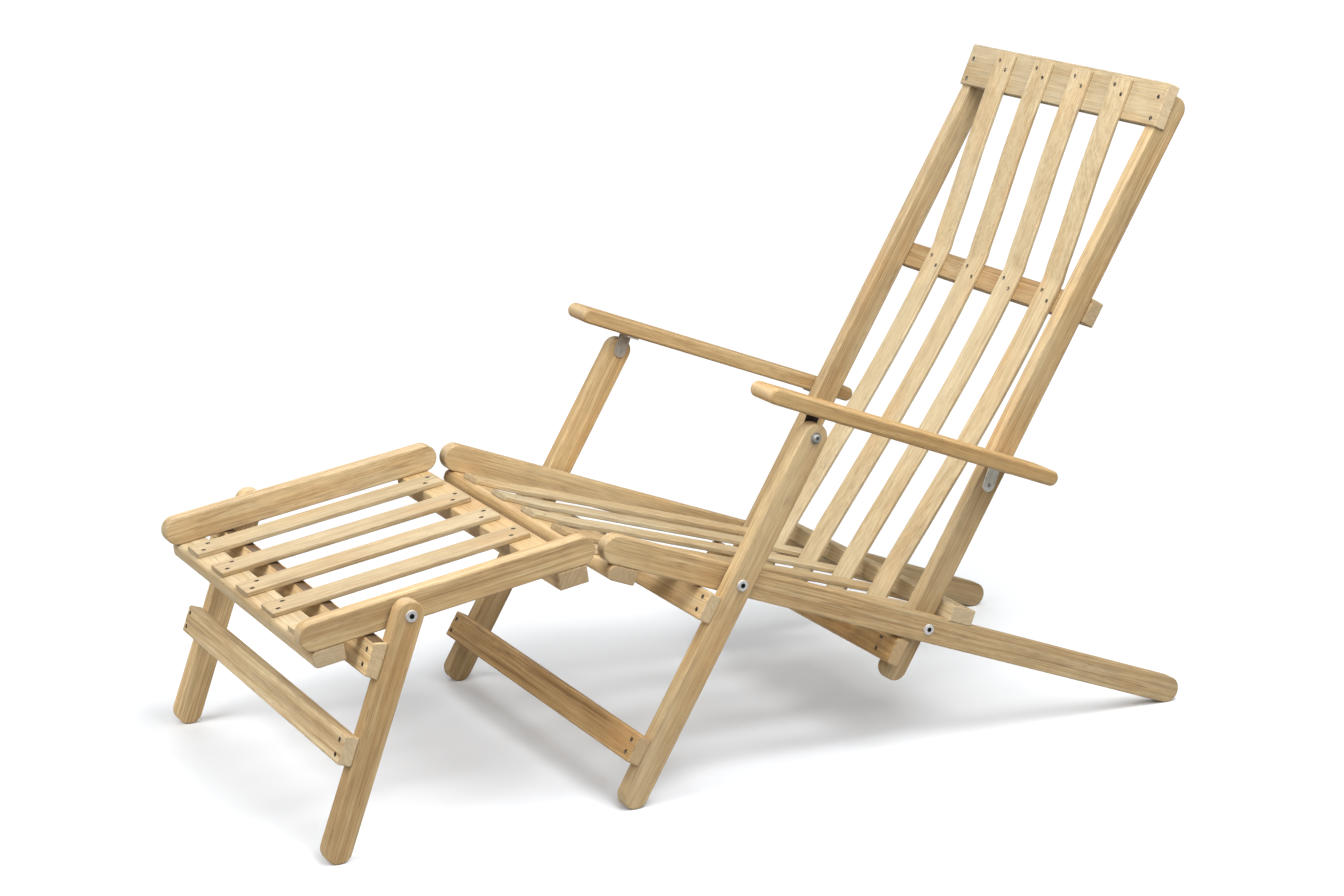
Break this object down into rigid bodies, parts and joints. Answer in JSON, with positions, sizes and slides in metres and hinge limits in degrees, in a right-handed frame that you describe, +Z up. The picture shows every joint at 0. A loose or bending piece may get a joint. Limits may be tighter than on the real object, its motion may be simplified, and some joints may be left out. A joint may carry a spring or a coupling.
{
  "type": "folding deck chair",
  "caption": "Folding wooden deck chair with slatted reclined back, slatted seat, flat armrests and a hinged footrest on its own folding legs.",
  "frame": {"origin": "bottom centre of the box around the open chair, on the floor", "axes": "+X towards the sitter's left, +Y towards the back, so the footrest end faces -Y, +Z up"},
  "size_m": [0.617, 1.4166, 0.9403],
  "materials": {
    "wood_rail": "satin",
    "wood_leg": "satin",
    "wood_crossbar": "satin",
    "wood_slat": "satin",
    "wood_arm": "satin",
    "screw_steel": "satin",
    "bolt_steel": "polished",
    "bracket_steel": "brushed",
    "washer_steel": "satin"
  },
  "bodies": {
    "seat_frame": {"seat_rail_left": "wood_rail", "seat_rail_right": "wood_rail", "seat_front_crossbar": "wood_crossbar", "seat_rear_crossbar": "wood_crossbar", "seat_slat_1": "wood_slat", "seat_slat_2": "wood_slat", "seat_slat_3": "wood_slat", "seat_slat_4": "wood_slat", "seat_slat_5": "wood_slat", "seat_screws": "screw_steel", "leg_pivot_bolts": "bolt_steel", "back_pivot_bolts": "bolt_steel", "seat_pivot_spacers": "washer_steel", "hinge_leaves_seat": "bracket_steel", "hinge_pins": "bracket_steel"},
    "front_legs": {"front_leg_left": "wood_leg", "front_leg_right": "wood_leg", "front_leg_upper_crossbar": "wood_crossbar", "front_leg_lower_crossbar": "wood_crossbar", "front_leg_screws": "screw_steel"},
    "back_frame": {"back_stile_left": "wood_leg", "back_stile_right": "wood_leg", "back_top_crossbar": "wood_crossbar", "back_middle_crossbar": "wood_crossbar", "back_lower_crossbar": "wood_crossbar", "back_slat_1": "wood_slat", "back_slat_2": "wood_slat", "back_slat_3": "wood_slat", "back_slat_4": "wood_slat", "back_screws": "screw_steel"},
    "arm_left": {"armrest_left": "wood_arm", "arm_brackets_left": "bracket_steel", "arm_bracket_screws_left": "screw_steel", "arm_bolts_left": "bolt_steel", "arm_bolt_washers_left": "washer_steel"},
    "arm_right": {"armrest_right": "wood_arm", "arm_brackets_right": "bracket_steel", "arm_bracket_screws_right": "screw_steel", "arm_bolts_right": "bolt_steel", "arm_bolt_washers_right": "washer_steel"},
    "footrest": {"footrest_rail_left": "wood_rail", "footrest_rail_right": "wood_rail", "footrest_front_crossbar": "wood_crossbar", "footrest_rear_crossbar": "wood_crossbar", "footrest_slat_1": "wood_slat", "footrest_slat_2": "wood_slat", "footrest_slat_3": "wood_slat", "footrest_slat_4": "wood_slat", "footrest_slat_5": "wood_slat", "footrest_screws": "screw_steel", "footrest_pivot_bolts": "bolt_steel", "footrest_pivot_spacers": "washer_steel", "hinge_leaves_footrest": "bracket_steel"},
    "footrest_legs": {"footrest_leg_left": "wood_leg", "footrest_leg_right": "wood_leg", "footrest_leg_upper_crossbar": "wood_crossbar", "footrest_leg_lower_crossbar": "wood_crossbar", "footrest_leg_screws": "screw_steel"}
  },
  "joints": [
    {"name": "leg_fold", "type": "hinge", "parent": "seat_frame", "child": "front_legs", "pos_m": [0, -0.07926, 0.29882], "axis": [1, 0, 0], "range_deg": [0, 97]},
    {"name": "back_fold", "type": "hinge", "parent": "seat_frame", "child": "back_frame", "pos_m": [0, 0.24749, 0.17996], "axis": [1, 0, 0], "range_deg": [0, 97]},
    {"name": "arm_left_fold", "type": "hinge", "parent": "front_legs", "child": "arm_left", "pos_m": [0, 0.03089, 0.49398], "axis": [1, 0, 0], "range_deg": [-97, 0]},
    {"name": "arm_right_fold", "type": "hinge", "parent": "front_legs", "child": "arm_right", "pos_m": [0, 0.03089, 0.49398], "axis": [1, 0, 0], "range_deg": [-97, 0]},
    {"name": "footrest_fold", "type": "hinge", "parent": "seat_frame", "child": "footrest", "pos_m": [0, -0.28433, 0.32471], "axis": [1, 0, 0], "range_deg": [0, 116.4]},
    {"name": "footrest_leg_fold", "type": "hinge", "parent": "footrest", "child": "footrest_legs", "pos_m": [0, -0.56726, 0.32403], "axis": [1, 0, 0], "range_deg": [0, 116]}
  ],
  "couplings": [
    {"joint": "back_fold", "follows": "leg_fold", "ratio": 1},
    {"joint": "arm_left_fold", "follows": "leg_fold", "ratio": -1},
    {"joint": "arm_right_fold", "follows": "leg_fold", "ratio": -1},
    {"joint": "footrest_fold", "follows": "leg_fold", "ratio": 1.2}
  ]
}
